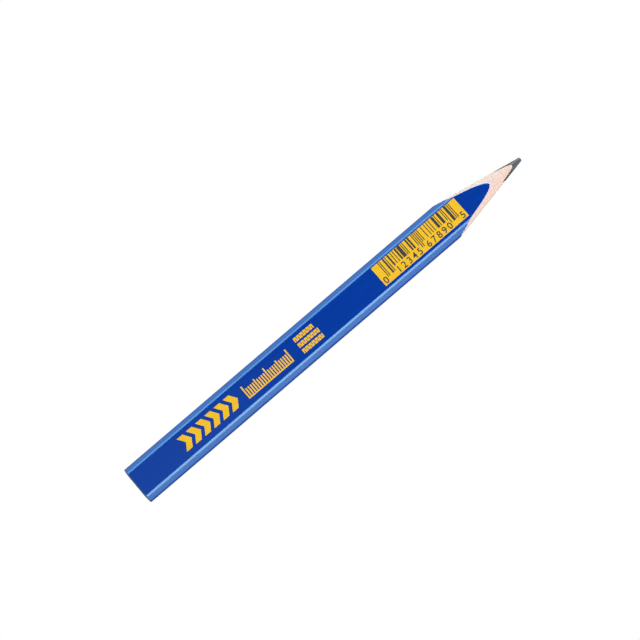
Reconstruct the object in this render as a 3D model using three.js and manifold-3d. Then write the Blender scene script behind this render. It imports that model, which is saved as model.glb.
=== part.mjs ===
// A flat carpenter's pencil, sharpened at one end. Millimetres, +Z up.
//
// The pencil lies on one broad face. +X points to the writing tip, and the origin is under
// the middle of its length, on the surface that it lies on.
//
// Two grooved wood slats close around a flat graphite lead, with a film of glue between them.
// The barrel carries a white primer and a blue lacquer, and yellow ink is printed on its top
// face. Sharpening cuts one cone through all of them, so every layer ends on that cone.

import * as THREE from 'three';
import { mergeVertices } from 'three/addons/utils/BufferGeometryUtils.js';
import Module from 'manifold-3d';

const wasm = await Module();
wasm.setup();

// Barrel: a flattened octagon with softened edges.
const LENGTH = 178;
const WIDTH = 14.6;
const THICKNESS = 7.4;
const BEVEL = 2.15;
const EDGE_RADIUS = 1.6;
const EDGE_STEPS = 5;

// Sharpened end: a cone about the barrel's axis, cut off square at the tip.
const TIP_RADIUS = 0.72;
const CONE_SLOPE = 0.191;
const CONE_SEGMENTS = 96;

// Lead, with softened edges, and the glue film that wraps it and fills the seam.
const LEAD_WIDTH = 4.9;
const LEAD_THICKNESS = 3.0;
const LEAD_EDGE_RADIUS = 0.35;
const GLUE_THICKNESS = 0.06;

// Coats, and the clearance that keeps neighbouring layers from sharing a face.
const LACQUER_THICKNESS = 0.1;
const PRIMER_THICKNESS = 0.08;
const LAYER_GAP = 0.01;
const INK_THICKNESS = 0.03;

// Label panel on the top face. Distances along the barrel are from the back end, and an
// offset is across it, from the middle of the face.
const LABEL_START = 111.5;
const LABEL_LENGTH = 38.6;
const LABEL_WIDTH = 8.26;
const LABEL_OFFSET = 0.32;

// Row of chevrons that point to the tip.
const CHEVRON_START = 21.0;
const CHEVRON_COUNT = 6;
const CHEVRON_PITCH = 4.2;
const CHEVRON_STROKE = 2.6;
const CHEVRON_SWEEP = 1.9;
const CHEVRON_HEIGHT = 5.7;
const CHEVRON_OFFSET = 0.28;

// Printed scale: millimetre ticks that stand on a base line.
const SCALE_START = 49.5;
const SCALE_TICKS = 21;
const SCALE_PITCH = 1.0;
const SCALE_TICK_WIDTH = 0.56;
const SCALE_BASE = -2.75;
const SCALE_BASE_WIDTH = 0.45;
const SCALE_MAJOR_HEIGHT = 5.3;
const SCALE_MIDDLE_HEIGHT = 4.5;
const SCALE_MINOR_HEIGHT = 3.8;

// Three short rows of notched bars. The first row's middle is the highest.
const ROW_START = 74.4;
const ROW_TEETH = [11, 12, 12];
const ROW_TOOTH_PITCH = 0.73;
const ROW_SLOT_WIDTH = 0.24;
const ROW_SLOT_DEPTH = 1.05;
const ROW_HEIGHT = 1.7;
const ROW_PITCH = 2.5;
const ROW_TOP = 2.64;

// Derived places.
const AXIS_HEIGHT = THICKNESS / 2;
const BACK_END = -LENGTH / 2;
const TIP = LENGTH / 2;
const PRIMER_INSET = LACQUER_THICKNESS + LAYER_GAP;
const WOOD_INSET = PRIMER_INSET + PRIMER_THICKNESS + LAYER_GAP;
const SEAM_HALF = GLUE_THICKNESS / 2;
const GROOVE_GROWTH = GLUE_THICKNESS + 2 * LAYER_GAP;

// Surfaces.
const surfaces = {
  wood: { color: '#f0dccd', roughness: 0.75, metalness: 0 },
  graphite: { color: '#4a4f55', roughness: 0.38, metalness: 0.35 },
  glue: { color: '#e8d9b4', roughness: 0.5, metalness: 0 },
  primer: { color: '#f1eff8', roughness: 0.6, metalness: 0 },
  lacquer: { color: '#0a3f9e', roughness: 0.22, metalness: 0 },
  ink: { color: '#f4c426', roughness: 0.45, metalness: 0 },
};

// Turns a closed three.js geometry into a solid that can be joined and cut.
function toSolid(geometry) {
  const bare = geometry.clone();
  bare.deleteAttribute('normal');
  bare.deleteAttribute('uv');
  const merged = mergeVertices(bare, 1e-4);
  const index = merged.index.array;
  const triVerts = [];
  for (let i = 0; i < index.length; i += 3) {
    const [a, b, c] = [index[i], index[i + 1], index[i + 2]];
    if (a !== b && b !== c && c !== a) {
      triVerts.push(a, b, c);
    }
  }
  return new wasm.Manifold(new wasm.Mesh({
    numProp: 3,
    vertProperties: new Float32Array(merged.attributes.position.array),
    triVerts: new Uint32Array(triVerts),
  }));
}

// Turns a solid back into a geometry with flat faces.
function toGeometry(solid) {
  const mesh = solid.getMesh();
  const geometry = new THREE.BufferGeometry();
  geometry.setAttribute('position', new THREE.BufferAttribute(mesh.vertProperties, 3));
  geometry.setIndex(new THREE.BufferAttribute(mesh.triVerts, 1));
  const faceted = geometry.toNonIndexed();
  faceted.computeVertexNormals();
  return faceted;
}

// A convex outline grown from its arc centres. The centres run anticlockwise, and each arc
// turns by an equal share of the circle.
function roundedOutline(centres, radius) {
  const shape = new THREE.Shape();
  const turn = (2 * Math.PI) / centres.length;
  centres.forEach(([x, y], k) => {
    for (let step = 0; step <= EDGE_STEPS; step += 1) {
      const angle = k * turn + (step / EDGE_STEPS) * turn;
      const point = new THREE.Vector2(x + radius * Math.cos(angle), y + radius * Math.sin(angle));
      if (k === 0 && step === 0) {
        shape.moveTo(point.x, point.y);
      } else {
        shape.lineTo(point.x, point.y);
      }
    }
  });
  shape.closePath();
  return shape;
}

// The barrel's cross-section, its width along x and its thickness along y, at a depth below
// the outer surface. All layers share the same arc centres.
function barrelOutline(inset) {
  const shortening = EDGE_RADIUS * (Math.SQRT2 - 1);
  const sideX = WIDTH / 2 - EDGE_RADIUS;
  const sideY = THICKNESS / 2 - BEVEL - shortening;
  const broadX = WIDTH / 2 - BEVEL - shortening;
  const broadY = THICKNESS / 2 - EDGE_RADIUS;
  const centres = [
    [sideX, sideY],
    [broadX, broadY],
    [-broadX, broadY],
    [-sideX, sideY],
    [-sideX, -sideY],
    [-broadX, -broadY],
    [broadX, -broadY],
    [sideX, -sideY],
  ];
  return roundedOutline(centres, EDGE_RADIUS - inset);
}

// The lead's cross-section, grown outwards by a distance.
function leadOutline(growth) {
  const x = LEAD_WIDTH / 2 - LEAD_EDGE_RADIUS;
  const y = LEAD_THICKNESS / 2 - LEAD_EDGE_RADIUS;
  return roundedOutline([[x, y], [-x, y], [-x, -y], [x, -y]], LEAD_EDGE_RADIUS + growth);
}

// Extrudes a cross-section along the barrel, from one station to another.
function alongBarrel(outline, from, to) {
  const geometry = new THREE.ExtrudeGeometry(outline, { depth: to - from, bevelEnabled: false });
  const widthToY = new THREE.Matrix4().set(
    0, 0, 1, from,
    1, 0, 0, 0,
    0, 1, 0, AXIS_HEIGHT,
    0, 0, 0, 1,
  );
  geometry.applyMatrix4(widthToY);
  return toSolid(geometry);
}

// Everything that sharpening leaves: the cone, and a cylinder wider than the barrel behind it.
function sharpeningEnvelope() {
  const clearRadius = WIDTH / 2 + 1;
  const coneStart = TIP - (clearRadius - TIP_RADIUS) / CONE_SLOPE;
  const profile = [
    new THREE.Vector2(0, BACK_END - 1),
    new THREE.Vector2(clearRadius, BACK_END - 1),
    new THREE.Vector2(clearRadius, coneStart),
    new THREE.Vector2(TIP_RADIUS, TIP),
    new THREE.Vector2(0, TIP),
  ];
  const geometry = new THREE.LatheGeometry(profile, CONE_SEGMENTS);
  const axisToX = new THREE.Matrix4().set(
    0, 1, 0, 0,
    0, 0, 1, 0,
    1, 0, 0, AXIS_HEIGHT,
    0, 0, 0, 1,
  );
  geometry.applyMatrix4(axisToX);
  return toSolid(geometry);
}

const envelope = sharpeningEnvelope();

// Prisms that are only cutters run past the ends of the pencil.
const cutter = (outline) => alongBarrel(outline, BACK_END - 1, TIP + 1);
const blank = (outline) => alongBarrel(outline, BACK_END, TIP);

// A rectangle outline between two corners.
function rectangle(left, bottom, right, top) {
  return new THREE.Shape([
    new THREE.Vector2(left, bottom),
    new THREE.Vector2(right, bottom),
    new THREE.Vector2(right, top),
    new THREE.Vector2(left, top),
  ]);
}

// A slat is the wood on one side of the seam, with a groove for half of the lead.
function woodSlat(side) {
  const near = side * (SEAM_HALF + LAYER_GAP);
  const far = side * THICKNESS;
  const halfSpace = rectangle(-WIDTH, Math.min(near, far), WIDTH, Math.max(near, far));
  return blank(barrelOutline(WOOD_INSET))
    .intersect(cutter(halfSpace))
    .subtract(cutter(leadOutline(GROOVE_GROWTH)))
    .intersect(envelope);
}

function graphiteLead() {
  return blank(leadOutline(0)).intersect(envelope);
}

// The glue is one cured film: a flat wing on each side and a sleeve around the lead.
function glueFilm() {
  const wings = blank(barrelOutline(WOOD_INSET))
    .intersect(cutter(rectangle(-WIDTH, -SEAM_HALF, WIDTH, SEAM_HALF)));
  return blank(leadOutline(LAYER_GAP + GLUE_THICKNESS))
    .add(wings)
    .subtract(cutter(leadOutline(LAYER_GAP)))
    .intersect(envelope);
}

// A coat is a sleeve between two depths below the barrel's outer surface.
function coat(depth, thickness) {
  return blank(barrelOutline(depth))
    .subtract(cutter(barrelOutline(depth + thickness)))
    .intersect(envelope);
}

// Ink lies on the top face. Its outline has x along the barrel, measured from the back end,
// and y across it.
function printed(outline) {
  const geometry = new THREE.ExtrudeGeometry(outline, { depth: INK_THICKNESS, bevelEnabled: false });
  geometry.translate(BACK_END, 0, THICKNESS);
  return toSolid(geometry);
}

function labelPanel() {
  const low = LABEL_OFFSET - LABEL_WIDTH / 2;
  return printed(rectangle(LABEL_START, low, LABEL_START + LABEL_LENGTH, low + LABEL_WIDTH));
}

function chevron(number) {
  const left = CHEVRON_START + number * CHEVRON_PITCH;
  const right = left + CHEVRON_STROKE;
  const low = CHEVRON_OFFSET - CHEVRON_HEIGHT / 2;
  const high = low + CHEVRON_HEIGHT;
  return printed(new THREE.Shape([
    new THREE.Vector2(left, low),
    new THREE.Vector2(right, low),
    new THREE.Vector2(right + CHEVRON_SWEEP, CHEVRON_OFFSET),
    new THREE.Vector2(right, high),
    new THREE.Vector2(left, high),
    new THREE.Vector2(left + CHEVRON_SWEEP, CHEVRON_OFFSET),
  ]));
}

function tickHeight(number) {
  if (number % 10 === 0) {
    return SCALE_MAJOR_HEIGHT;
  }
  return number % 5 === 0 ? SCALE_MIDDLE_HEIGHT : SCALE_MINOR_HEIGHT;
}

// The scale's outline runs along the underside of the base line, then back over the ticks.
function printedScale() {
  const shelf = SCALE_BASE + SCALE_BASE_WIDTH;
  const end = SCALE_START + (SCALE_TICKS - 1) * SCALE_PITCH + SCALE_TICK_WIDTH;
  const points = [[SCALE_START, SCALE_BASE], [end, SCALE_BASE]];
  for (let number = SCALE_TICKS - 1; number >= 0; number -= 1) {
    const left = SCALE_START + number * SCALE_PITCH;
    const top = SCALE_BASE + tickHeight(number);
    points.push([left + SCALE_TICK_WIDTH, top], [left, top]);
    if (number > 0) {
      points.push([left, shelf], [left - SCALE_PITCH + SCALE_TICK_WIDTH, shelf]);
    }
  }
  return printed(new THREE.Shape(points.map(([x, y]) => new THREE.Vector2(x, y))));
}

// A notched bar has slots cut in turn from its two edges: odd ones from below, even ones from
// above.
function notchedBar(number) {
  const slots = ROW_TEETH[number];
  const top = ROW_TOP + ROW_HEIGHT / 2 - number * ROW_PITCH;
  const bottom = top - ROW_HEIGHT;
  const end = ROW_START + (slots + 1) * ROW_TOOTH_PITCH - ROW_SLOT_WIDTH;
  const slotLeft = (slot) => ROW_START + slot * ROW_TOOTH_PITCH - ROW_SLOT_WIDTH;
  const points = [[ROW_START, bottom]];
  for (let slot = 1; slot <= slots; slot += 2) {
    const left = slotLeft(slot);
    const right = left + ROW_SLOT_WIDTH;
    const depth = bottom + ROW_SLOT_DEPTH;
    points.push([left, bottom], [left, depth], [right, depth], [right, bottom]);
  }
  points.push([end, bottom], [end, top]);
  for (let slot = slots - (slots % 2); slot >= 2; slot -= 2) {
    const left = slotLeft(slot);
    const right = left + ROW_SLOT_WIDTH;
    const depth = top - ROW_SLOT_DEPTH;
    points.push([right, top], [right, depth], [left, depth], [left, top]);
  }
  points.push([ROW_START, top]);
  return printed(new THREE.Shape(points.map(([x, y]) => new THREE.Vector2(x, y))));
}

const pencil = new THREE.Group();

function addPart(name, solid, surface) {
  const mesh = new THREE.Mesh(toGeometry(solid), new THREE.MeshStandardMaterial(surface));
  mesh.name = name;
  pencil.add(mesh);
}

addPart('upper_wood_slat', woodSlat(1), surfaces.wood);
addPart('lower_wood_slat', woodSlat(-1), surfaces.wood);
addPart('graphite_lead', graphiteLead(), surfaces.graphite);
addPart('glue_film', glueFilm(), surfaces.glue);
addPart('primer_coat', coat(PRIMER_INSET, PRIMER_THICKNESS), surfaces.primer);
addPart('lacquer_coat', coat(0, LACQUER_THICKNESS), surfaces.lacquer);
addPart('label_panel', labelPanel(), surfaces.ink);
for (let number = 0; number < CHEVRON_COUNT; number += 1) {
  addPart(`printed_chevron_${number + 1}`, chevron(number), surfaces.ink);
}
addPart('printed_scale', printedScale(), surfaces.ink);
for (let number = 0; number < ROW_TEETH.length; number += 1) {
  addPart(`printed_row_${number + 1}`, notchedBar(number), surfaces.ink);
}

export default pencil;
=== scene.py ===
"""The looks of a flat carpenter's pencil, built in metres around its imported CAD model.

Every layer of the pencil is a cross-section across the barrel (y, z about the axis) that
runs from the back end to the cone of the sharpened end. The pieces here are finer copies of
the CAD layers: same places and sizes, with smooth edges, bare wood, graphite and print.
"""

import math

import bmesh
import bpy
from mathutils import Matrix, Vector, noise
from mathutils.geometry import tessellate_polygon


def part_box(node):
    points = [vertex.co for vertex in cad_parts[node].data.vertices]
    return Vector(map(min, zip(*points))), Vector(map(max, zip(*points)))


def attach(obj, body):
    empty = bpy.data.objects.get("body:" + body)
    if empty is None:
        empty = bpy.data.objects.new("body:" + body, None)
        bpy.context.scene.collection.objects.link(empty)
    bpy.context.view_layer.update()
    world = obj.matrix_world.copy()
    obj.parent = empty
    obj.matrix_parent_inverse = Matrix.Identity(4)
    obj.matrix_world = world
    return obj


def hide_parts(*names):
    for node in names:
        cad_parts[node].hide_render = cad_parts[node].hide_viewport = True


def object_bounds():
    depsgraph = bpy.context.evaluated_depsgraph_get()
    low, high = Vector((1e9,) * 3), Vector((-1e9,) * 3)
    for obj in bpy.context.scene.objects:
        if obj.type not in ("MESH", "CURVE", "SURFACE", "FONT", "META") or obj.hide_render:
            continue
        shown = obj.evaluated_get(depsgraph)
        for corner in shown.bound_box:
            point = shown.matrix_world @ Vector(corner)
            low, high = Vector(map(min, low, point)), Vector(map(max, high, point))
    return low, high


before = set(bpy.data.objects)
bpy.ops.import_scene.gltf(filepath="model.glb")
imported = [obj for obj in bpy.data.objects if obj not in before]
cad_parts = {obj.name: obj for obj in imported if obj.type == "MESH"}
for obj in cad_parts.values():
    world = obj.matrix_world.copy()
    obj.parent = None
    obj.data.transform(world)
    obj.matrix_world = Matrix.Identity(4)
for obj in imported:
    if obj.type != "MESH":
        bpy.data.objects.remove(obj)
cad_low, cad_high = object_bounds()

MM = 0.001

# ---------------------------------------------------------------------------------------
# Sizes: what the frame says, then the few shape values that its boxes do not hold.
# ---------------------------------------------------------------------------------------

lacquer_low, lacquer_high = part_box("lacquer_coat")
lead_low, lead_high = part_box("graphite_lead")
panel_low, panel_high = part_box("label_panel")

BACK = lead_low.x
TIP = lead_high.x
HALF_WIDTH = lacquer_high.y
HALF_THICKNESS = (lacquer_high.z - lacquer_low.z) / 2
AXIS_Z = lacquer_low.z + HALF_THICKNESS
TOP = lacquer_high.z
INK_TOP = panel_high.z
LEAD_HALF_WIDTH = lead_high.y
LEAD_HALF_THICKNESS = (lead_high.z - lead_low.z) / 2


def inset_of(node):
    """How deep a layer's outer side lies below the outside of the lacquer."""
    return HALF_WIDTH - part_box(node)[1].y


PRIMER_INSET = inset_of("primer_coat")
WOOD_INSET = inset_of("upper_wood_slat")

# The barrel's section and the cone that cuts it.
BEVEL = 2.15 * MM
EDGE_RADIUS = 1.6 * MM
LEAD_EDGE_RADIUS = 0.35 * MM
TIP_RADIUS = 0.72 * MM
TIP_CROWN = 0.1 * MM
CONE_SLOPE = 0.191

# The layers. The lacquer's back edge is rolled over by ROLL_DEPTH, a share of its thickness.
# The lacquer is dark and dull on the roll, and this fades out over a rim at the back end.
LACQUER_THICKNESS = 0.1 * MM
PRIMER_THICKNESS = 0.08 * MM
GLUE_THICKNESS = 0.06 * MM
LAYER_GAP = 0.01 * MM
ROLL_LENGTH = 0.2 * MM
ROLL_DEPTH = 0.8
RIM_LENGTH = 0.8 * MM
RIM_ROUGHNESS = 0.7

# The ink, and the small unevenness of its edges. The curve at a corner of its outline takes
# at most CORNER_SHARE of a side.
INK_THICKNESS = INK_TOP - TOP
BLACK_INK_THICKNESS = 0.015 * MM
INK_CORNER = 0.07 * MM
CORNER_SHARE = 0.4
INK_WANDER = 0.02 * MM
INK_WANDER_LENGTH = 0.5 * MM

# A sample barcode number, and where its bars and numerals stand on the label. The outline of
# a numeral is grown by NUMERAL_WEIGHT, and a numeral is NUMERAL_EM_SHARE of its font size high.
SAMPLE_DIGITS = "012345678905"
MODULE = 0.347 * MM
BAR_GAIN = 0.01 * MM
BAR_TOP = panel_high.y - 0.05 * MM
BAR_FOOT = -0.3 * MM
GUARD_FOOT = -1.9 * MM
NUMERAL_FOOT = -3.4 * MM
NUMERAL_HEIGHT = 2.6 * MM
NUMERAL_EM_SHARE = 0.73
NUMERAL_WEIGHT = 0.03 * MM
OUTER_NUMERAL_GAP = 1.35 * MM

# The barcode alphabet: each digit is seven modules, light (0) or dark (1).
DIGIT_MODULES = [
    "0001101", "0011001", "0010011", "0111101", "0100011",
    "0110001", "0101111", "0111011", "0110111", "0001011",
]
END_GUARD = "101"
MIDDLE_GUARD = "01010"

# How finely the meshes are divided.
SMOOTH_ANGLE = math.radians(30)
ARC_STEPS = 10
POINT_SPACING = 0.22 * MM
RADIAL_STEPS = 44
CROWN_STEPS = 5
FLANK_STEPS = 24
LENGTH_STEPS = 40
CORE_LENGTH_STEPS = 12
ROLL_STEPS = 3
CORNER_STEPS = 3
INK_POINT_SPACING = 0.25 * MM
NUMERAL_CURVE_STEPS = 6
WELD_DISTANCE = 0.0005 * MM
ROUNDING = 1e-9

# The stage. The floor is dark within FLOOR_DARK_HALF of the pencil's axis and bright beyond
# FLOOR_BRIGHT_HALF. Heights are the upward part of a direction of length 1.
FLOOR_HALF = 3.0
FLOOR_DROP = 0.02 * MM
FLOOR_NEAR_GLOW = 0.15
FLOOR_FAR_GLOW = 1.5
FLOOR_DARK_HALF = 12 * MM
FLOOR_BRIGHT_HALF = 36 * MM
FLOOR_MIRRORED_COLOUR = (0.62, 0.93, 1, 1)
HORIZON_GLOW = 1.7
HORIZON_HEIGHT = 0.3
ZENITH_GLOW = 0.01
ZENITH_HEIGHT = 0.5

# The camera looks almost straight down on the printed face, a little from the near side and
# from the back end, with the tip turned up to the right.
LENS_MM = 85
SENSOR_MM = 36
CAMERA_DISTANCE = 0.5335
TILT_NEAR = math.radians(7.47)
TILT_BACK = math.radians(3.17)
BARREL_TURN = math.radians(40.52)
AIM_RIGHT = -3.83 * MM
AIM_UP = 0.35 * MM


# ---------------------------------------------------------------------------------------
# Cross-sections: rings of (y, z) points about the axis, anticlockwise seen from the tip.
# ---------------------------------------------------------------------------------------

def rounded_ring(centres, radius):
    """A convex ring around its arc centres, with points spread along the straight sides."""
    turn = 2 * math.pi / len(centres)
    ring = []
    for k, (y, z) in enumerate(centres):
        for step in range(ARC_STEPS + 1):
            angle = (k + step / ARC_STEPS) * turn
            ring.append((y + radius * math.cos(angle), z + radius * math.sin(angle)))
        next_y, next_z = centres[(k + 1) % len(centres)]
        along = Vector((next_y - y, next_z - z))
        pieces = max(2, round(along.length / POINT_SPACING))
        start = Vector(ring[-1])
        for piece in range(1, pieces):
            point = start + along * (piece / pieces)
            ring.append((point.x, point.y))
    return ring


def barrel_ring(inset):
    """The flattened octagon at a depth below the outside. All depths share their arc centres."""
    shortening = EDGE_RADIUS * (math.sqrt(2) - 1)
    side_y = HALF_WIDTH - EDGE_RADIUS
    side_z = HALF_THICKNESS - BEVEL - shortening
    broad_y = HALF_WIDTH - BEVEL - shortening
    broad_z = HALF_THICKNESS - EDGE_RADIUS
    quarter = [(side_y, side_z), (broad_y, broad_z)]
    upper = quarter + [(-y, z) for y, z in reversed(quarter)]
    centres = upper + [(-y, -z) for y, z in upper]
    return rounded_ring(centres, EDGE_RADIUS - inset)


def lead_ring(growth):
    """The lead's section, grown outwards."""
    y = LEAD_HALF_WIDTH - LEAD_EDGE_RADIUS
    z = LEAD_HALF_THICKNESS - LEAD_EDGE_RADIUS
    return rounded_ring([(y, z), (-y, z), (-y, -z), (y, -z)], LEAD_EDGE_RADIUS + growth)


def reach(ring, y, z):
    """Where the ray from the axis towards (y, z) meets a convex ring."""
    for (y0, z0), (y1, z1) in zip(ring, ring[1:] + ring[:1]):
        step_y, step_z = y1 - y0, z1 - z0
        across = y * step_z - z * step_y
        if across == 0:
            continue
        share = (z * y0 - y * z0) / across
        scale = (y0 * step_z - z0 * step_y) / across
        if scale > 0 and -ROUNDING <= share <= 1 + ROUNDING:
            return (y * scale, z * scale)
    raise ValueError("the ray misses the ring")


def cone_x(y, z):
    """The sharpened end's x above or beside the axis, with a slightly crowned tip. The cone
    starts behind the crown, and meets the CAD cone a millimetre farther out."""
    radius = math.hypot(y, z)
    if radius < TIP_RADIUS:
        return TIP - TIP_CROWN * (radius / TIP_RADIUS) ** 4
    beyond = radius - TIP_RADIUS
    return TIP - TIP_CROWN * max(0, 1 - beyond / MM) - beyond / CONE_SLOPE


# ---------------------------------------------------------------------------------------
# Meshes
# ---------------------------------------------------------------------------------------

def make_piece(name, vertices, faces, material, replaced=()):
    """A closed mesh piece that rides on the pencil's only body."""
    mesh = bpy.data.meshes.new(name)
    mesh.from_pydata(vertices, [], faces)
    mesh.validate()
    mesh.shade_smooth()
    mesh.set_sharp_from_angle(angle=SMOOTH_ANGLE)
    mesh.materials.append(material)
    piece = bpy.data.objects.new(name, mesh)
    bpy.context.scene.collection.objects.link(piece)
    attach(piece, "root")
    if replaced:
        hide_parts(*replaced)
    return piece


def place(x, point):
    """A cross-section point set at x along the barrel, in the row frame."""
    return (x, point[0], point[1] + AXIS_Z)


def along_barrel(start, point, step, steps):
    """A point of a section, run a step of the way to the cone. Steps shorten towards it."""
    share = 1 - (1 - step / steps) ** 2
    return place(start + (cone_x(*point) - start) * share, point)


def stitch(rings):
    """Quads between successive rings of equal length, the last ring joined to the first."""
    count = len(rings[0])
    faces = []
    for k in range(len(rings)):
        here, after = k * count, ((k + 1) % len(rings)) * count
        for i in range(count):
            j = (i + 1) % count
            faces.append((here + i, here + j, after + j, after + i))
    return faces


def layer(outer, inner, roll=0.0):
    """Vertices and faces of a coat between two rings. The roll rounds off its back edge."""
    rings = []
    start = BACK
    if roll:
        for turn in range(ROLL_STEPS):
            angle = turn / ROLL_STEPS * math.pi / 2
            depth = ROLL_DEPTH * (1 - math.sin(angle))
            sunk = [
                (yo + (yi - yo) * depth, zo + (zi - zo) * depth)
                for (yo, zo), (yi, zi) in zip(outer, inner)
            ]
            rings.append([place(BACK + roll * (1 - math.cos(angle)), p) for p in sunk])
        rings.append([place(BACK + roll, p) for p in outer])
        start = BACK + 2 * roll
    for step in range(LENGTH_STEPS + 1):
        rings.append([along_barrel(start, p, step, LENGTH_STEPS) for p in outer])
    rings.append([place(cone_x(*p), p) for p in inner])
    rings.append([place(BACK, p) for p in inner])
    vertices = [v for ring in rings for v in ring]
    return vertices, stitch(rings)


def solid(points, faces):
    """A section mesh run from the back end to the cone, closed by walls along its rim."""
    count = len(points)
    edges = {}
    for face in faces:
        for a, b in zip(face, face[1:] + face[:1]):
            edges[(a, b)] = True
    rim = [edge for edge in edges if (edge[1], edge[0]) not in edges]
    vertices = [place(BACK, p) for p in points] + [place(cone_x(*p), p) for p in points]
    all_faces = [tuple(reversed(face)) for face in faces]
    all_faces += [tuple(count + i for i in face) for face in faces]
    columns = {}
    for a, _ in rim:
        column = [a]
        for step in range(1, CORE_LENGTH_STEPS):
            column.append(len(vertices))
            vertices.append(along_barrel(BACK, points[a], step, CORE_LENGTH_STEPS))
        column.append(count + a)
        columns[a] = column
    for a, b in rim:
        here, after = columns[a], columns[b]
        for step in range(CORE_LENGTH_STEPS):
            all_faces.append((here[step], after[step], after[step + 1], here[step + 1]))
    return vertices, all_faces


def spread(inner, outer, steps, closed):
    """A section mesh between two matched rows of points."""
    count = len(inner)
    points = []
    for step in range(steps + 1):
        share = step / steps
        points += [
            (yi + (yo - yi) * share, zi + (zo - zi) * share)
            for (yi, zi), (yo, zo) in zip(inner, outer)
        ]
    faces = []
    for step in range(steps):
        here, after = step * count, (step + 1) * count
        for i in range(count if closed else count - 1):
            j = (i + 1) % count
            faces.append((here + i, after + i, after + j, here + j))
    return points, faces


# ---------------------------------------------------------------------------------------
# Materials
# ---------------------------------------------------------------------------------------

class Look:
    """A Principled material whose nodes are added by short calls.

    A pattern is a noise over the object's own coordinates, whose values gather about a half.
    Its cells are given per metre, so a low number along x draws it out along the barrel."""

    def __init__(self, name):
        self.material = bpy.data.materials.new(name)
        self.material.use_nodes = True
        self.tree = self.material.node_tree
        self.surface = self.tree.nodes["Principled BSDF"]
        self.position = self.node("TexCoord", {}).outputs["Object"]

    def node(self, kind, inputs, **settings):
        """A shader node with its inputs fed from sockets or plain values."""
        made = self.tree.nodes.new("ShaderNode" + kind)
        for key, value in settings.items():
            setattr(made, key, value)
        for key, value in inputs.items():
            self.feed(made.inputs[key], value)
        return made

    def feed(self, socket, value):
        """Links a socket to an output, or sets it to a plain value."""
        if isinstance(value, bpy.types.NodeSocket):
            self.tree.links.new(value, socket)
        else:
            socket.default_value = value

    def set(self, **inputs):
        """Feeds the shader's own sockets, named with underscores for spaces."""
        for key, value in inputs.items():
            self.feed(self.surface.inputs[key.replace("_", " ")], value)

    def stretched(self, x, y, z, shift=(0, 0, 0), tilt=(0, 0, 0)):
        """Object coordinates scaled per axis, in cells per metre."""
        return self.node("Mapping", {
            "Vector": self.position, "Scale": (x, y, z), "Location": shift, "Rotation": tilt,
        }).outputs["Vector"]

    def noise(self, vector, detail):
        """A pattern of one cell per unit of the vector, with finer octaves in it."""
        return self.node("TexNoise", {
            "Vector": vector, "Scale": 1.0, "Detail": detail, "Roughness": 0.5,
        }).outputs["Fac"]

    def between(self, value, low, high, start=0.3, end=0.7):
        """Turns values from start to end into numbers from low to high, and no further."""
        return self.node("MapRange", {
            "Value": value, "From Min": start, "From Max": end, "To Min": low, "To Max": high,
        }).outputs["Result"]

    def mix(self, factor, first, second):
        """A colour between two, which are the Mix node's sockets 6 and 7 and its output 2."""
        made = self.node("Mix", {}, data_type="RGBA")
        self.feed(made.inputs["Factor"], factor)
        self.feed(made.inputs[6], first)
        self.feed(made.inputs[7], second)
        return made.outputs[2]

    def mix_numbers(self, factor, first, second):
        """A number between two, which are the Mix node's sockets 2 and 3 and its output 0."""
        return self.node("Mix", {"Factor": factor, 2: first, 3: second}).outputs[0]

    def speckled(self, pattern, first, second):
        """A colour that wanders between two with a pattern."""
        return self.mix(self.between(pattern, 0, 1), first, second)

    def bump(self, height, strength, distance, normal=None):
        """A normal that follows a pattern's heights, over another bump where one is given."""
        inputs = {"Height": height, "Strength": strength, "Distance": distance}
        if normal:
            inputs["Normal"] = normal
        return self.node("Bump", inputs).outputs["Normal"]


def lacquer_look():
    """Blue gloss lacquer with faint lengthwise lines from the die that wiped it on. It is
    darker and duller at the rim of the back end."""
    look = Look("blue_lacquer")
    lines = look.noise(look.stretched(20, 2600, 2600), detail=4)
    waves = look.noise(look.stretched(9, 1000, 1000), detail=2)
    ripple = look.noise(look.stretched(60, 420, 420), detail=2)
    tone = look.noise(look.stretched(14, 60, 60), detail=2)
    blue = look.speckled(tone, (0.0002, 0.0258, 0.226, 1), (0.0003, 0.0288, 0.246, 1))
    navy = (0.006, 0.012, 0.045, 1)
    x = look.node("SeparateXYZ", {"Vector": look.position}).outputs["X"]
    rim = look.between(x, 1, 0, BACK + ROLL_LENGTH, BACK + RIM_LENGTH)
    normal = look.bump(ripple, 0.08, 0.06 * MM)
    normal = look.bump(waves, 0.4, 0.06 * MM, normal)
    normal = look.bump(lines, 0.3, 0.014 * MM, normal)
    look.set(
        Base_Color=look.mix(rim, blue, navy),
        Roughness=look.mix_numbers(rim, look.between(lines, 0.14, 0.24), RIM_ROUGHNESS),
        IOR=1.9,
        Specular_Tint=(0.4, 0.8, 1, 1),
        Normal=normal,
    )
    return look.material


def primer_look():
    """White undercoat, seen as the thin line between the lacquer and the wood."""
    look = Look("white_primer")
    grain = look.noise(look.stretched(900, 4000, 4000), detail=3)
    look.set(
        Base_Color=look.speckled(grain, (0.5, 0.47, 0.66, 1), (0.56, 0.53, 0.72, 1)),
        Roughness=look.between(grain, 0.5, 0.65),
        Normal=look.bump(grain, 0.3, 0.01 * MM),
    )
    return look.material


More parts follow.
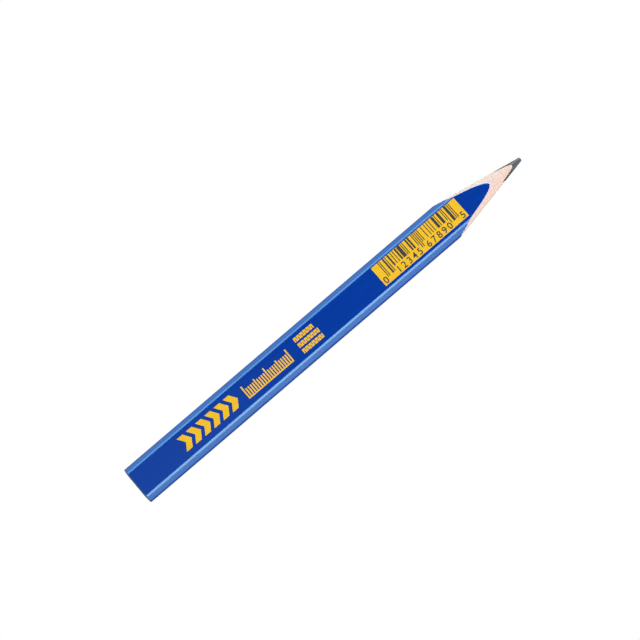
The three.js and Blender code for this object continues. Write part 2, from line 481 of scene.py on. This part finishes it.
def wood_look(name, pith, tilt):
    """Pale pinkish softwood: growth rings about a distant pith, with fine fibres along x."""
    look = Look(name)
    wander = look.noise(look.stretched(30, 160, 160, shift=pith), detail=3)
    about_pith = look.stretched(1, 1, 1, shift=pith, tilt=tilt)
    rings = look.node("TexWave", {
        "Vector": about_pith, "Scale": 175.0, "Distortion": 1.4, "Detail": 3.0, "Detail Scale": 0.6,
    }, wave_type="RINGS", rings_direction="X", wave_profile="SAW").outputs["Fac"]
    fibres = look.noise(look.stretched(60, 2200, 2200), detail=3)
    fuzz = look.noise(look.stretched(500, 4500, 4500), detail=1)
    late_wood = (0.5, 0.35, 0.29, 1)
    pore = (0.47, 0.33, 0.27, 1)
    pale = look.speckled(wander, (0.58, 0.425, 0.36, 1), (0.605, 0.452, 0.388, 1))
    ringed = look.mix(look.between(rings, 0, 0.24, 0.35, 1.0), pale, late_wood)
    fibred = look.mix(look.between(fibres, 0, 0.04, 0.45, 0.8), ringed, pore)
    normal = look.bump(fibres, 0.06, 0.012 * MM)
    normal = look.bump(fuzz, 0.03, 0.006 * MM, normal)
    look.set(
        Base_Color=fibred,
        Roughness=look.between(fibres, 0.62, 0.8),
        IOR=1.45,
        Normal=normal,
    )
    return look.material


def graphite_look():
    """Graphite and clay: dark blue-grey with a soft metallic sheen and fine scratches."""
    look = Look("graphite")
    scratches = look.noise(look.stretched(700, 14000, 14000), detail=3)
    blotches = look.noise(look.stretched(900, 900, 900), detail=4)
    look.set(
        Base_Color=look.speckled(blotches, (0.045, 0.05, 0.057, 1), (0.085, 0.092, 0.1, 1)),
        Metallic=0.35,
        Roughness=look.between(blotches, 0.36, 0.52),
        IOR=1.7,
        Normal=look.bump(scratches, 0.4, 0.015 * MM),
    )
    return look.material


def glue_look():
    """Dried wood glue: a thin amber line."""
    look = Look("dried_glue")
    cloud = look.noise(look.stretched(700, 2500, 2500), detail=3)
    look.set(
        Base_Color=look.speckled(cloud, (0.66, 0.5, 0.33, 1), (0.78, 0.63, 0.45, 1)),
        Roughness=look.between(cloud, 0.4, 0.55),
        Normal=look.bump(cloud, 0.2, 0.01 * MM),
    )
    return look.material


def yellow_ink_look():
    """Yellow ink, slightly uneven, with the sheen of the lacquer under it."""
    look = Look("yellow_ink")
    mottle = look.noise(look.stretched(300, 700, 700), detail=2)
    grain = look.noise(look.stretched(1500, 3000, 3000), detail=1)
    look.set(
        Base_Color=look.speckled(mottle, (0.6, 0.342, 0.004, 1), (0.62, 0.356, 0.005, 1)),
        Roughness=look.between(mottle, 0.36, 0.5),
        IOR=1.45,
        Normal=look.bump(grain, 0.15, 0.006 * MM),
    )
    return look.material


def black_ink_look():
    """Black ink printed over the yellow."""
    look = Look("black_ink")
    mottle = look.noise(look.stretched(1500, 2500, 2500), detail=3)
    look.set(
        Base_Color=look.speckled(mottle, (0.012, 0.012, 0.012, 1), (0.03, 0.028, 0.022, 1)),
        Roughness=look.between(mottle, 0.4, 0.55),
        Normal=look.bump(mottle, 0.1, 0.005 * MM),
    )
    return look.material


# ---------------------------------------------------------------------------------------
# Wood, lead and glue
# ---------------------------------------------------------------------------------------

def build_slat(name, upper, material, node):
    """The wood above or below the seam, with half of the lead's groove."""
    seam = GLUE_THICKNESS / 2 + LAYER_GAP
    groove = lead_ring(GLUE_THICKNESS + 2 * LAYER_GAP)
    groove_half = LEAD_HALF_WIDTH + GLUE_THICKNESS + 2 * LAYER_GAP
    core_half = HALF_WIDTH - WOOD_INSET
    outer = [p for p in barrel_ring(WOOD_INSET) if p[1] > seam * 2]
    outer.sort(key=lambda p: math.atan2(p[1], p[0]))
    inner = [reach(groove, *p) for p in outer]
    outer = [(core_half, seam)] + outer + [(-core_half, seam)]
    inner = [(groove_half, seam)] + inner + [(-groove_half, seam)]
    points, faces = spread(inner, outer, RADIAL_STEPS, closed=False)
    if not upper:
        points = [(y, -z) for y, z in points]
        faces = [tuple(reversed(face)) for face in faces]
    vertices, all_faces = solid(points, faces)
    return make_piece(name, vertices, all_faces, material, [node])


def build_lead(material):
    """The lead, from the flat of its back end to its blunt point."""
    ring = lead_ring(0)
    tip_circle = [
        (TIP_RADIUS * y / math.hypot(y, z), TIP_RADIUS * z / math.hypot(y, z)) for y, z in ring
    ]
    count = len(ring)
    points, faces = [], []
    for step in range(1, CROWN_STEPS):
        points += [(y * step / CROWN_STEPS, z * step / CROWN_STEPS) for y, z in tip_circle]
    flank, _ = spread(tip_circle, ring, FLANK_STEPS, closed=True)
    points += flank
    for row in range(len(points) // count - 1):
        here, after = row * count, (row + 1) * count
        for i in range(count):
            j = (i + 1) % count
            faces.append((here + i, after + i, after + j, here + j))
    centre = len(points)
    points.append((0.0, 0.0))
    faces += [(centre, i, (i + 1) % count) for i in range(count)]
    vertices, all_faces = solid(points, faces)
    return make_piece("lead", vertices, all_faces, material, ["graphite_lead"])


def build_glue(material):
    """The glue film: a sleeve around the lead and a wing along each side of the seam."""
    inner = lead_ring(LAYER_GAP)
    outer = lead_ring(LAYER_GAP + GLUE_THICKNESS)
    vertices, faces = layer(outer, inner)
    half = GLUE_THICKNESS / 2
    near = LEAD_HALF_WIDTH + LAYER_GAP + GLUE_THICKNESS
    far = HALF_WIDTH - WOOD_INSET
    for side in (1, -1):
        lower = [(side * near, -half), (side * far, -half)]
        upper = [(side * near, half), (side * far, half)]
        points, wing = spread(lower, upper, 1, closed=False)
        if side > 0:
            wing = [tuple(reversed(face)) for face in wing]
        wing_vertices, wing_faces = solid(points, wing)
        start = len(vertices)
        vertices += wing_vertices
        faces += [tuple(start + i for i in face) for face in wing_faces]
    return make_piece("glue", vertices, faces, material, ["glue_film"])


# ---------------------------------------------------------------------------------------
# Coats
# ---------------------------------------------------------------------------------------

def build_coat(name, inset, thickness, material, node, roll=0.0):
    """A sleeve of paint around the wood, at its depth below the outside of the barrel."""
    vertices, faces = layer(barrel_ring(inset), barrel_ring(inset + thickness), roll)
    return make_piece(name, vertices, faces, material, [node])


# ---------------------------------------------------------------------------------------
# Print
# ---------------------------------------------------------------------------------------

def top_outline(node):
    """The outline of a flat CAD print node's top face, anticlockwise from above. An edge that
    two of its triangles share drops out, and the rest are followed from point to point."""
    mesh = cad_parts[node].data
    top = max(v.co.z for v in mesh.vertices)
    edges = set()
    for face in mesh.polygons:
        corners = [mesh.vertices[i].co for i in face.vertices]
        if min(c.z for c in corners) < top - INK_THICKNESS / 2:
            continue
        keys = [(round(c.x / MM, 3), round(c.y / MM, 3)) for c in corners]
        for a, b in zip(keys, keys[1:] + keys[:1]):
            if (b, a) in edges:
                edges.remove((b, a))
            else:
                edges.add((a, b))
    following = dict(edges)
    outline = [min(following)]
    while following[outline[-1]] != outline[0]:
        outline.append(following[outline[-1]])
    return [Vector((x * MM, y * MM)) for x, y in outline]


def softened(outline, radius):
    """The outline with a small curve at each corner and points along its straight sides."""
    points = []
    count = len(outline)
    for k in range(count):
        before, here, after = outline[k - 1], outline[k], outline[(k + 1) % count]
        reach_in = min(radius, (here - before).length * CORNER_SHARE)
        reach_out = min(radius, (after - here).length * CORNER_SHARE)
        start = here + (before - here).normalized() * reach_in
        end = here + (after - here).normalized() * reach_out
        for step in range(CORNER_STEPS + 1):
            share = step / CORNER_STEPS
            points.append(start.lerp(here, share).lerp(here.lerp(end, share), share))
        far = after + (here - after).normalized() * reach_out
        pieces = max(1, round((far - end).length / INK_POINT_SPACING))
        points += [end.lerp(far, piece / pieces) for piece in range(1, pieces)]
    return points


def edge_normals(points):
    """Outward normals of an anticlockwise outline."""
    normals = []
    for before, after in zip(points[-1:] + points[:-1], points[1:] + points[:1]):
        along = (after - before).normalized()
        normals.append(Vector((along.y, -along.x)))
    return normals


def uneven(points):
    """Moves an outline's points by the slight wander of a printed edge."""
    moved = []
    for point, normal in zip(points, edge_normals(points)):
        wander = noise.noise(Vector((point.x, point.y, 0)) / INK_WANDER_LENGTH)
        moved.append(point + normal * wander * INK_WANDER)
    return moved


def ink_slab(outline, bottom, top):
    """Vertices and faces of one area of ink, with a rounded shoulder."""
    points = uneven(softened(outline, INK_CORNER))
    normals = edge_normals(points)
    shoulder = (top - bottom) / 2
    inner = [p - n * shoulder for p, n in zip(points, normals)]
    rings = [(points, bottom), (points, top - shoulder), (inner, top)]
    vertices = [(p.x, p.y, z) for ring, z in rings for p in ring]
    count = len(points)
    faces = []
    for level in range(2):
        here, after = level * count, (level + 1) * count
        for i in range(count):
            j = (i + 1) % count
            faces.append((here + i, here + j, after + j, after + i))
    lid = tessellate_polygon([[p.to_3d() for p in inner]])
    base = tessellate_polygon([[p.to_3d() for p in points]])
    for triangles, ring, start, up in ((lid, inner, 2 * count, True), (base, points, 0, False)):
        for a, b, c in triangles:
            anticlockwise = (ring[b] - ring[a]).cross(ring[c] - ring[a]) > 0
            turned = (a, b, c) if anticlockwise == up else (a, c, b)
            faces.append(tuple(start + i for i in turned))
    return vertices, faces


def printed(name, outlines, bottom, top, material, replaced=()):
    """Areas of ink on one level, as one piece."""
    vertices, faces = [], []
    for outline in outlines:
        more_vertices, more_faces = ink_slab(outline, bottom, top)
        start = len(vertices)
        vertices += more_vertices
        faces += [tuple(start + i for i in face) for face in more_faces]
    return make_piece(name, vertices, faces, material, replaced)


def rectangle(left, low, right, high):
    """The corners of an upright rectangle, anticlockwise."""
    corners = [(left, low), (right, low), (right, high), (left, high)]
    return [Vector(corner) for corner in corners]


def barcode_modules():
    """The row of modules, and for each module whether its bar runs down between the numerals.
    The digits of the right half are inverted."""
    half = len(SAMPLE_DIGITS) // 2
    modules, tall = END_GUARD, [True] * len(END_GUARD)
    for place_in_row, digit in enumerate(SAMPLE_DIGITS):
        if place_in_row == half:
            modules += MIDDLE_GUARD
            tall += [True] * len(MIDDLE_GUARD)
        code = DIGIT_MODULES[int(digit)]
        if place_in_row >= half:
            code = code.translate(str.maketrans("01", "10"))
        modules += code
        tall += [place_in_row in (0, len(SAMPLE_DIGITS) - 1)] * len(code)
    return modules + END_GUARD, tall + [True] * len(END_GUARD)


def build_bars(material):
    """Black bars over the label panel: a run of dark modules is one bar."""
    modules, tall = barcode_modules()
    start = (panel_low.x + panel_high.x - len(modules) * MODULE) / 2
    outlines = []
    k = 0
    while k < len(modules):
        width = 1
        while modules[k] == "1" and modules[k:k + width + 1] == "1" * (width + 1):
            width += 1
        if modules[k] == "1":
            foot = GUARD_FOOT if tall[k] else BAR_FOOT
            left = start + k * MODULE + BAR_GAIN
            right = start + (k + width) * MODULE - BAR_GAIN
            outlines.append(rectangle(left, foot, right, BAR_TOP))
        k += width
    top = INK_TOP + BLACK_INK_THICKNESS
    printed("label_bars", outlines, INK_TOP, top, material)


def numeral(digit):
    """One numeral as a closed slab that stands on the x axis, centred on the origin."""
    text = bpy.data.curves.new("numeral_" + digit, "FONT")
    text.body = digit
    text.size = NUMERAL_HEIGHT / NUMERAL_EM_SHARE
    text.align_x = "CENTER"
    text.extrude = BLACK_INK_THICKNESS / 2
    text.offset = NUMERAL_WEIGHT
    text.resolution_u = NUMERAL_CURVE_STEPS
    holder = bpy.data.objects.new("numeral_" + digit, text)
    bpy.context.scene.collection.objects.link(holder)
    bpy.context.view_layer.update()
    evaluated = holder.evaluated_get(bpy.context.evaluated_depsgraph_get())
    form = bmesh.new()
    form.from_mesh(evaluated.to_mesh())
    evaluated.to_mesh_clear()
    bmesh.ops.remove_doubles(form, verts=form.verts, dist=WELD_DISTANCE)
    bmesh.ops.recalc_face_normals(form, faces=form.faces)
    vertices = [v.co.copy() for v in form.verts]
    faces = [tuple(v.index for v in f.verts) for f in form.faces]
    form.free()
    bpy.data.objects.remove(holder)
    bpy.data.curves.remove(text)
    return vertices, faces


def build_numerals(material):
    """Numerals under the bars: the first and the last stand outside them."""
    modules, _ = barcode_modules()
    start = (panel_low.x + panel_high.x - len(modules) * MODULE) / 2
    end = start + len(modules) * MODULE
    half = len(SAMPLE_DIGITS) // 2
    code_length = len(DIGIT_MODULES[0])
    vertices, faces = [], []
    for k, digit in enumerate(SAMPLE_DIGITS):
        if k == 0:
            x = start - OUTER_NUMERAL_GAP
        elif k == len(SAMPLE_DIGITS) - 1:
            x = end + OUTER_NUMERAL_GAP
        else:
            guards = len(END_GUARD) + (len(MIDDLE_GUARD) if k >= half else 0)
            x = start + (guards + (k + 0.5) * code_length) * MODULE
        first = len(vertices)
        shape, shape_faces = numeral(digit)
        z = INK_TOP + BLACK_INK_THICKNESS / 2
        vertices += [(p.x + x, p.y + NUMERAL_FOOT, p.z + z) for p in shape]
        faces += [tuple(first + i for i in face) for face in shape_faces]
    make_piece("label_numerals", vertices, faces, material)


# ---------------------------------------------------------------------------------------
# The pencil
# ---------------------------------------------------------------------------------------

ink = yellow_ink_look()
black = black_ink_look()
upper_wood = wood_look("upper_wood", pith=(0.0, 0.021, 0.034), tilt=(0, 0.012, 0.02))
lower_wood = wood_look("lower_wood", pith=(0.3, -0.027, 0.041), tilt=(0, -0.02, 0.01))

build_coat(
    "lacquer", 0.0, LACQUER_THICKNESS, lacquer_look(), "lacquer_coat", ROLL_LENGTH)
build_coat("primer", PRIMER_INSET, PRIMER_THICKNESS, primer_look(), "primer_coat")
build_slat("upper_slat", True, upper_wood, "upper_wood_slat")
build_slat("lower_slat", False, lower_wood, "lower_wood_slat")
build_lead(graphite_look())
build_glue(glue_look())

for node in sorted(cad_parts):
    if node.startswith(("label", "printed")):
        printed(node + "_ink", [top_outline(node)], TOP, INK_TOP, ink, [node])
build_bars(black)
build_numerals(black)

# ---------------------------------------------------------------------------------------
# Stage, light and camera
# ---------------------------------------------------------------------------------------

def build_floor():
    """A pale floor. The camera sees it plain white. Other rays see it darker beside the pencil,
    as in its own contact shadow, and bright farther off, where the bevels mirror it."""
    mesh = bpy.data.meshes.new("floor")
    corners = rectangle(-FLOOR_HALF, -FLOOR_HALF, FLOOR_HALF, FLOOR_HALF)
    mesh.from_pydata([corner.to_3d() for corner in corners], [], [(0, 1, 2, 3)])
    floor = bpy.data.objects.new("floor", mesh)
    bpy.context.scene.collection.objects.link(floor)
    floor.location.z = cad_low.z - FLOOR_DROP
    look = Look("pale_floor")
    split = look.node("SeparateXYZ", {"Vector": look.position})
    distance = look.node("Math", {0: split.outputs["Y"]}, operation="ABSOLUTE").outputs[0]
    glow = look.between(
        distance, FLOOR_NEAR_GLOW, FLOOR_FAR_GLOW, FLOOR_DARK_HALF, FLOOR_BRIGHT_HALF)
    direct = look.node("Emission", {"Strength": 1.0}).outputs[0]
    mirrored = look.node(
        "Emission", {"Color": FLOOR_MIRRORED_COLOUR, "Strength": glow}).outputs[0]
    seen = look.node("LightPath", {}).outputs["Is Camera Ray"]
    shader = look.node("MixShader", {0: seen, 1: mirrored, 2: direct}).outputs[0]
    output = look.tree.nodes["Material Output"]
    look.tree.links.new(shader, output.inputs["Surface"])
    mesh.materials.append(look.material)


def build_sky():
    """A light tent: bright near the horizon, dark overhead."""
    world = bpy.data.worlds.new("light_tent")
    bpy.context.scene.world = world
    world.use_nodes = True
    tree = world.node_tree
    background = tree.nodes["Background"]
    coords = tree.nodes.new("ShaderNodeTexCoord")
    split = tree.nodes.new("ShaderNodeSeparateXYZ")
    ramp = tree.nodes.new("ShaderNodeMapRange")
    tree.links.new(coords.outputs["Generated"], split.inputs["Vector"])
    tree.links.new(split.outputs["Z"], ramp.inputs["Value"])
    ramp.inputs["From Min"].default_value = HORIZON_HEIGHT
    ramp.inputs["From Max"].default_value = ZENITH_HEIGHT
    ramp.inputs["To Min"].default_value = HORIZON_GLOW
    ramp.inputs["To Max"].default_value = ZENITH_GLOW
    tree.links.new(ramp.outputs["Result"], background.inputs["Strength"])
    background.inputs["Color"].default_value = (1, 1, 1, 1)


def softbox(name, direction, elevation, distance, size, radiance, tint=(1, 1, 1)):
    """A rectangular light aimed at the pencil. Direction 0 is the near side and 90 the tip."""
    light = bpy.data.lights.new(name, "AREA")
    light.shape = "RECTANGLE"
    light.size, light.size_y = size
    light.energy = radiance * math.pi * size[0] * size[1]
    light.color = tint
    lamp = bpy.data.objects.new(name, light)
    bpy.context.scene.collection.objects.link(lamp)
    turn, rise = math.radians(direction), math.radians(elevation)
    level = math.cos(rise)
    away = Vector((math.sin(turn) * level, -math.cos(turn) * level, math.sin(rise)))
    lamp.location = away * distance
    lamp.rotation_mode = "QUATERNION"
    lamp.rotation_quaternion = away.to_track_quat("Z", "Y")


def build_camera():
    """A camera at the photo's viewing angle, aimed a little beside the pencil's middle."""
    data = bpy.data.cameras.new("camera")
    data.lens = LENS_MM
    data.sensor_width = SENSOR_MM
    camera = bpy.data.objects.new("camera", data)
    bpy.context.scene.collection.objects.link(camera)
    back = Vector((-math.sin(TILT_BACK), -math.sin(TILT_NEAR), 1)).normalized()
    along = Vector((1, 0, 0))
    along = (along - along.dot(back) * back).normalized()
    across = back.cross(along)
    right = math.cos(BARREL_TURN) * along - math.sin(BARREL_TURN) * across
    up = math.sin(BARREL_TURN) * along + math.cos(BARREL_TURN) * across
    centre = Vector((0, 0, AXIS_Z)) + AIM_RIGHT * right + AIM_UP * up
    turn = Matrix((right, up, back)).transposed().to_4x4()
    camera.matrix_world = Matrix.Translation(centre + back * CAMERA_DISTANCE) @ turn
    bpy.context.scene.camera = camera


build_floor()
build_sky()
softbox(
    "near_softbox", direction=0, elevation=43.5, distance=0.65,
    size=(0.42, 0.68), radiance=6.1, tint=(1, 0.94, 0.94),
)
softbox(
    "far_softbox", direction=180, elevation=33.5, distance=0.65,
    size=(0.7, 0.51), radiance=3.4, tint=(0.68, 0.92, 1),
)
softbox(
    "tip_softbox", direction=135, elevation=35, distance=0.65,
    size=(0.45, 0.45), radiance=3.0,
)
softbox(
    "overhead_card", direction=270, elevation=72, distance=0.9,
    size=(0.3, 0.5), radiance=0.3,
)
build_camera()
bpy.context.scene.view_settings.view_transform = "Standard"
